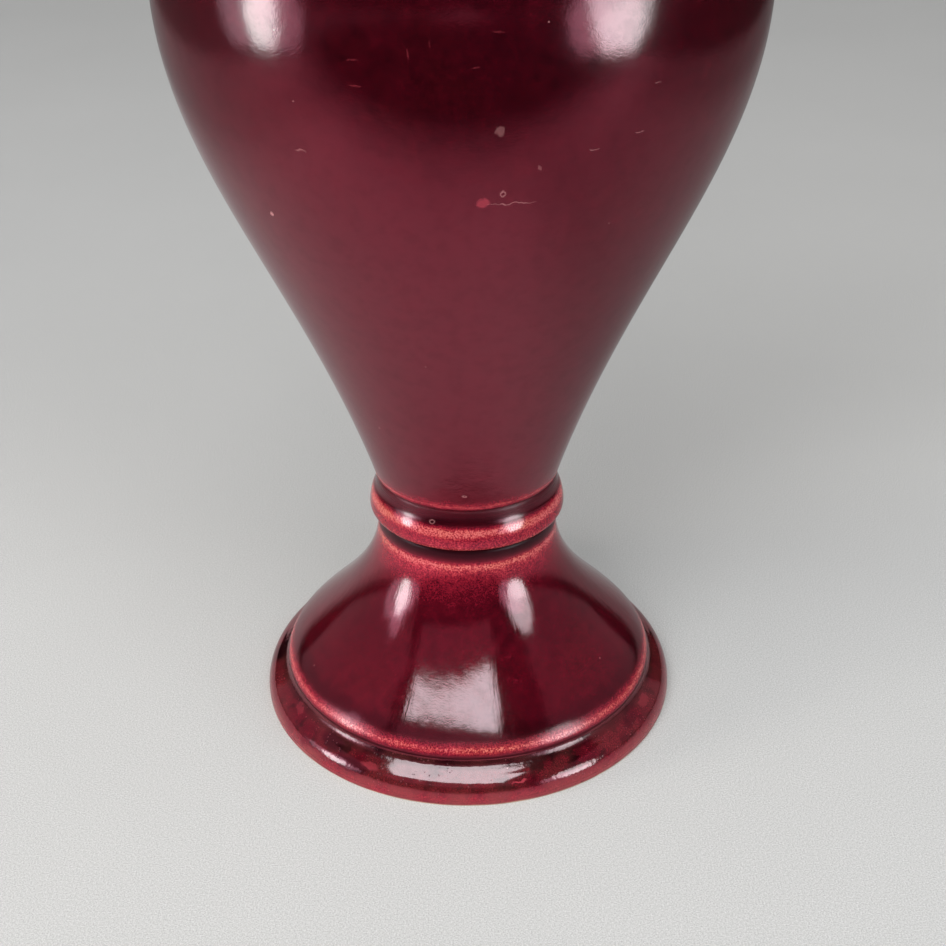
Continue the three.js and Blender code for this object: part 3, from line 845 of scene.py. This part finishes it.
def room(gloss, glow, horizon, high):
    """An even room: dim in reflections, with a soft glow for light and a pale backdrop for the camera."""
    world = bpy.data.worlds.new("room")
    world.use_nodes = True
    bpy.context.scene.world = world
    nodes, links = world.node_tree.nodes, world.node_tree.links

    def mix(share, first, second):
        made = nodes.new("ShaderNodeMix")
        made.data_type = "RGBA"
        links.new(share, made.inputs[0])
        for socket, value in ((made.inputs[6], first), (made.inputs[7], second)):
            if isinstance(value, bpy.types.NodeSocket):
                links.new(value, socket)
            else:
                socket.default_value = (value, value, value, 1)
        return made.outputs[2]

    path = nodes.new("ShaderNodeLightPath")
    way = nodes.new("ShaderNodeSeparateXYZ")
    links.new(nodes.new("ShaderNodeTexCoord").outputs["Generated"], way.inputs[0])
    lighting = mix(path.outputs["Is Diffuse Ray"], gloss, glow)
    backdrop = mix(way.outputs["Z"], horizon, high)
    links.new(mix(path.outputs["Is Camera Ray"], lighting, backdrop), nodes["Background"].inputs["Color"])


CAMERA_PLACE = (0, -339.3 * MM, 260.1 * MM)
CAMERA_PITCH = radians(29.95)
CAMERA_YAW = radians(0.28)
CAMERA_ROLL = radians(-0.377)
CAMERA_LENS = 56.89


def set_camera():
    camera = bpy.data.cameras.new("camera")
    camera.lens = CAMERA_LENS
    camera.sensor_width = 36
    camera.clip_start = 0.01
    stand = bpy.data.objects.new("camera", camera)
    turned = Matrix.Rotation(-CAMERA_YAW, 3, "Z") @ Matrix.Rotation(pi / 2 - CAMERA_PITCH, 3, "X")
    stand.rotation_euler = (turned @ Matrix.Rotation(CAMERA_ROLL, 3, "Z")).to_euler()
    stand.location = CAMERA_PLACE
    bpy.context.scene.collection.objects.link(stand)
    bpy.context.scene.camera = stand


set_camera()
bpy.context.scene.view_settings.view_transform = "Standard"
room(gloss=0.012, glow=0.33, horizon=0.416, high=0.60)
stage_sheet("table", -TABLE_DROP, table_top())
dark_card = stage_sheet("dark_card", CARD_HEIGHT, dim_card())
# Painted shade that only reflections see: it stands in for the dark room beyond the table's edges, and dims
# parts of the mirrored table
dark_card.visible_camera = dark_card.visible_diffuse = dark_card.visible_shadow = False

# The glaze mirrors red strongly, so lamps that show white in it are short of red
LAMP_WHITE = (0.19, 1.0, 0.66)
PANEL_WHITE = (0.18, 1.0, 0.66)
HALO_WHITE = (0.42, 0.95, 0.86)
WHITE = (1, 1, 1)
WARM_WHITE = (1, 0.93, 0.86)
COOL_WHITE = (0.91, 0.95, 1)
FOOT_FRONT = (0, -40 * MM, 20 * MM)
FILL_SPREAD = radians(64)
# Each lamp's place, aim and size are in metres, and its radiance in watts per square metre and steradian
lamp("left_lamp", (-0.680, -0.239, 0.122), (0, 0, 0.122), (0.178, 0.27), 17.5, LAMP_WHITE, "ELLIPSE")
lamp("left_halo", (-0.684, -0.225, 0.115), (0, 0, 0.115), (0.45, 0.33), 2.1, HALO_WHITE, "ELLIPSE")
lamp("left_haze", (-0.679, -0.240, 0.220), (0, 0, 0.220), (0.18, 0.32), 2.3, HALO_WHITE, "ELLIPSE")
lamp("right_lamp", (0.582, -0.424, 0.190), (0, 0, 0.190), (0.305, 0.42), 12, LAMP_WHITE, "ELLIPSE")
lamp("right_heart", (0.583, -0.423, 0.085), (0, 0, 0.085), (0.21, 0.20), 6, LAMP_WHITE, "ELLIPSE")
lamp("right_halo", (0.535, -0.482, 0.120), (0, 0, 0.120), (0.34, 0.32), 2.6, HALO_WHITE, "ELLIPSE")
lamp("overhead", (-0.105, -0.475, 0.856), FOOT_FRONT, (0.86, 0.475), 17, PANEL_WHITE)
lamp("under_overhead", (-0.13, -0.67, 0.52), FOOT_FRONT, (0.95, 0.26), 0.28, WHITE)
lamp("left_wall", (-1.5, 0.1, 0.75), (0, 0.1, 0.3), (2.2, 1.3), 0.28, WHITE)
lamp("right_wall", (1.5, 0.1, 0.75), (0, 0.1, 0.3), (2.2, 1.3), 0.24, WHITE)
lamp("key", (-0.78, -1.55, 1.60), (0, 0, 0), (1.6, 1.6), 6.3, WHITE, mirrored=False)
lamp("second_key", (0.65, -1.45, 1.65), (0, 0, 0), (1.6, 1.6), 2.9, WHITE, mirrored=False)
lamp("ceiling", (-0.20, -0.30, 1.30), (0, 0, 0), (1.3, 1.3), 0.55, WHITE, mirrored=False)
lamp("left_fill", (-0.680, -0.239, 0.16), (0, 0, 0.125), (0.22, 0.28), 27, WARM_WHITE,
     mirrored=False, spread=FILL_SPREAD)
lamp("right_fill", (0.580, -0.427, 0.20), (0, 0, 0.175), (0.30, 0.38), 11, COOL_WHITE,
     mirrored=False, spread=FILL_SPREAD)

PIECES = (
    ("turned_base_ring", "base_ring", "thin_glaze", ring_outline),
    ("turned_foot_bell", "foot_bell", "oxblood_glaze", bell_outline),
    ("turned_collar", "collar_ring", "thin_glaze", collar_outline),
    ("turned_lower_body", "body_lower", "oxblood_glaze", lower_body_outline),
    ("turned_upper_body", "body_upper", "oxblood_glaze", upper_body_outline),
    ("turned_neck", "neck", "oxblood_glaze", neck_outline),
    ("turned_mouth", "mouth_rim", "thin_glaze", rim_outline),
)

# Small faults and pools in the glaze: place and reach in mm, colour, strength, and whether only the rim shows
BODY_MARKS = (
    ((3.6, -62.3, 160.8), (1.6, 4, 1.4), RED, 0.34, False),
    ((9.4, -61.5, 160.4), (5.8, 4, 0.16), PALE, 0.24, False),
    ((-39.9, -43.7, 152.2), (0.6, 1, 0.9), PALE, 0.42, False),
    ((6.8, -66.2, 176.2), (1.2, 3, 1.4), PALE, 0.14, False),
    ((7.6, -62.0, 162.6), (0.9, 2, 0.9), PALE, 0.28, True),
    ((-0.7, -25.3, 72.4), (0.7, 1, 0.5), PALE, 0.50, True),
    ((6.2, -67.5, 194.7), (1.6, 2, 0.22), RED, 0.11, False),
    ((-9.9, -67.1, 190.9), (0.22, 2, 1.2), RED, 0.10, False),
    ((-20.1, -64.5, 184.4), (1.8, 3, 0.22), RED, 0.14, False),
    ((2.4, -67.8, 188.4), (1.0, 2, 0.22), RED, 0.11, False),
    ((37.0, -56.3, 182.4), (0.9, 3, 0.20), PALE, 0.16, False),
    ((34.1, -56.3, 172.8), (1.2, 3, 0.20), PALE, 0.16, False),
    ((14.5, -62.9, 168.0), (0.4, 3, 1.0), PALE, 0.12, False),
    ((25.0, -60.3, 170.6), (1.3, 3, 0.20), PALE, 0.16, False),
    ((-20.3, -64.8, 189.2), (1.2, 2, 0.20), RED, 0.12, False),
    ((-5.9, -67.6, 192.7), (0.20, 2, 0.9), RED, 0.09, False),
    ((-31.7, -56.9, 169.9), (1.5, 4, 0.22), PALE, 0.14, False),
)
COLLAR_MARKS = (((-8.8, -22.4, 63.5), (1.1, 1.6, 0.6), PALE, 0.22, True),)
RING_MARKS = (
    ((-30.5, -45.0, 5.2), (7.5, 6, 1.9), DEEP, 0.80, False),
    ((-35.5, -38.5, 7.4), (4.5, 5, 1.5), DEEP, 0.70, False),
    ((-44.2, -24.5, 7.6), (2.4, 4, 1.2), RED, 0.16, False),
    ((-47.0, -20.0, 6.4), (1.5, 3, 2.0), DEEP, 0.60, False),
    ((-25.5, -47.5, 6.4), (3.2, 4, 0.7), RED, 0.22, False),
    ((12.5, -51.5, 5.6), (2.6, 4, 0.32), RED, 0.60, False),
    ((41.5, -31.0, 7.0), (3.4, 4, 1.2), DEEP, 0.55, False),
    ((46.5, -23.0, 7.4), (2.4, 4, 1.4), RED, 0.14, False),
)
body_glaze = oxblood("oxblood_body", BODY_BANDS, 0.011 * MM, mottling=0.36, marks=BODY_MARKS)
GLAZES = {
    "base_ring": oxblood("oxblood_ring", RING_BANDS, 0.002 * MM, pools=0.42, tanning=0.60, pinholes=1.0,
                         mottling=0.30, marks=RING_MARKS),
    "foot_bell": oxblood("oxblood_foot", FOOT_BANDS, 0.011 * MM, streaks=0.024 * MM, mottling=0.30),
    "collar_ring": oxblood("oxblood_collar", COLLAR_BANDS, 0.007 * MM, mottling=0.24, marks=COLLAR_MARKS),
    "body_lower": body_glaze, "body_upper": body_glaze,
    "neck": oxblood("oxblood_neck", NECK_BANDS, 0.005 * MM),
    "mouth_rim": oxblood("oxblood_mouth", RIM_BANDS, 0.005 * MM),
    "handle_right": oxblood("oxblood_handles", HANDLE_BANDS, 0.005 * MM),
}
GLAZES["handle_left"] = GLAZES["handle_right"]


def fit(piece, node):
    piece.data.materials.clear()
    piece.data.materials.append(GLAZES[node])
    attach(piece, "root")
    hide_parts(node)


for name, node, slot, outline in PIECES:
    fit(turn(name, outline()), node)
handle_right = shape_handle("luted_handle_right")
handle_left = copy_across(handle_right, "luted_handle_left")
fit(handle_right, "handle_right")
fit(handle_left, "handle_left")
